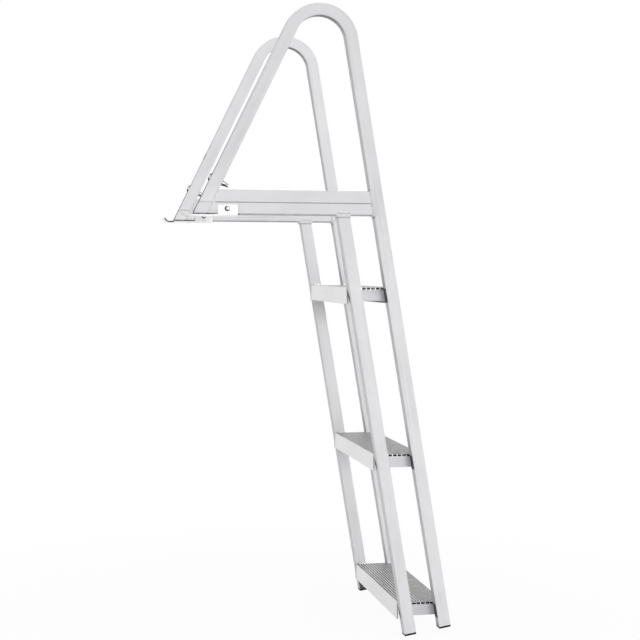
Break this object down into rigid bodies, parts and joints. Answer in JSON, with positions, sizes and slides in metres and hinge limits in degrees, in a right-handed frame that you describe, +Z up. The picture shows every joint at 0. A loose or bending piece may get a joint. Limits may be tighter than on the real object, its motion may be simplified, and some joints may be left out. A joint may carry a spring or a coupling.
{
  "type": "dock ladder",
  "caption": "Dock ladder with bent square-tube handrails, horizontal deck bars, grooved treads, rubber feet and bolted deck brackets.",
  "frame": {"origin": "on the underside of the left deck bracket's plate, straight below its cross bolt", "axes": "+X from the dock out over the water, +Y from the left side frame to the right one, +Z up"},
  "size_m": [0.5614, 0.481, 1.2978],
  "materials": {
    "frame_aluminium": "satin clear anodised",
    "tread_aluminium": "extruded, fine grooves, satin",
    "bracket_steel": "polished stainless sheet",
    "bolt_steel": "polished stainless",
    "rubber": "matt black rubber"
  },
  "bodies": {
    "root": {"bottom_tread": "tread_aluminium", "bottom_tread_left_end_plate": "tread_aluminium", "bottom_tread_right_end_plate": "tread_aluminium", "left_bracket_bolt": "bolt_steel", "left_bracket_nut": "bolt_steel", "left_deck_bracket": "bracket_steel", "left_handrail_tube": "frame_aluminium", "left_inner_foot_cap": "rubber", "left_inner_stile": "frame_aluminium", "left_leg_bolt": "bolt_steel", "left_lower_bar": "frame_aluminium", "left_outer_foot_cap": "rubber", "left_upper_bar": "frame_aluminium", "left_wing_nut": "bolt_steel", "middle_tread": "tread_aluminium", "middle_tread_left_end_plate": "tread_aluminium", "middle_tread_right_end_plate": "tread_aluminium", "right_bracket_bolt": "bolt_steel", "right_bracket_nut": "bolt_steel", "right_deck_bracket": "bracket_steel", "right_handrail_tube": "frame_aluminium", "right_inner_foot_cap": "rubber", "right_inner_stile": "frame_aluminium", "right_leg_bolt": "bolt_steel", "right_lower_bar": "frame_aluminium", "right_outer_foot_cap": "rubber", "right_upper_bar": "frame_aluminium", "right_wing_nut": "bolt_steel", "top_tread": "tread_aluminium", "top_tread_left_end_plate": "tread_aluminium", "top_tread_right_end_plate": "tread_aluminium"}
  },
  "joints": []
}
